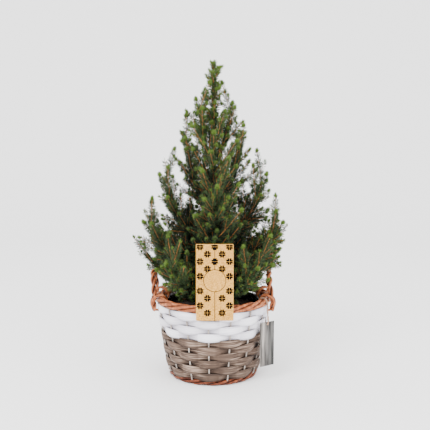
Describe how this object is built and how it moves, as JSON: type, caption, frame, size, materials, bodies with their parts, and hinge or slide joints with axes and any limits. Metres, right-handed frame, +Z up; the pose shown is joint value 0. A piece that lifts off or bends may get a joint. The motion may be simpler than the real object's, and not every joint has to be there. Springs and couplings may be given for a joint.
{
  "type": "potted dwarf spruce",
  "caption": "Small conical spruce in a lined wicker basket with a white and grey woven wall, twisted rim, two ear handles, a star card and a hanging tag.",
  "frame": {"origin": "centre of the basket's flat underside", "axes": "+Z up along the trunk, front with the card towards -Y, handles on +X and -X"},
  "size_m": [0.3255, 0.3018, 0.65],
  "materials": {
    "white_strip": "matt white paint on flat wood strip",
    "grey_strip": "weathered grey-brown wood strip",
    "willow": "peeled orange-brown willow",
    "red_willow": "dark red-brown willow",
    "board": "plain board",
    "film": "black plastic liner",
    "earth": "dark moist compost",
    "kraft": "brown kraft card with printed stars",
    "tag_face": "silver-grey washed wood",
    "twine": "pale natural twine",
    "bark": "orange-brown bark",
    "needles": "green needles"
  },
  "bodies": {
    "root": {"weave_row_01": "grey_strip", "weave_row_02": "grey_strip", "weave_row_03": "grey_strip", "weave_row_04": "grey_strip", "weave_row_05": "grey_strip", "weave_row_06": "grey_strip", "weave_row_07": "white_strip", "weave_row_08": "white_strip", "weave_row_09": "white_strip", "weave_row_10": "white_strip", "foot_ring_and_stakes": "red_willow", "base_plate": "board", "rim": "willow", "handle_left": "willow", "handle_right": "willow", "liner": "film", "compost": "earth", "card": "kraft", "tag": "tag_face", "tag_tie": "twine", "trunk": "bark", "bough_1a": "bark", "bough_1b": "bark", "bough_1c": "bark", "bough_1d": "bark", "bough_1e": "bark", "bough_2a": "bark", "bough_2b": "bark", "bough_2c": "bark", "bough_2d": "bark", "bough_2e": "bark", "bough_3a": "bark", "bough_3b": "bark", "bough_3c": "bark", "bough_3d": "bark", "bough_4a": "bark", "bough_4b": "bark", "bough_4c": "bark", "bough_5a": "bark", "bough_5b": "bark", "needles_1a": "needles", "needles_1b": "needles", "needles_1c": "needles", "needles_1d": "needles", "needles_1e": "needles", "needles_2a": "needles", "needles_2b": "needles", "needles_2c": "needles", "needles_2d": "needles", "needles_2e": "needles", "needles_3a": "needles", "needles_3b": "needles", "needles_3c": "needles", "needles_3d": "needles", "needles_4a": "needles", "needles_4b": "needles", "needles_4c": "needles", "needles_5a": "needles", "needles_5b": "needles", "needles_top": "needles"}
  },
  "joints": []
}
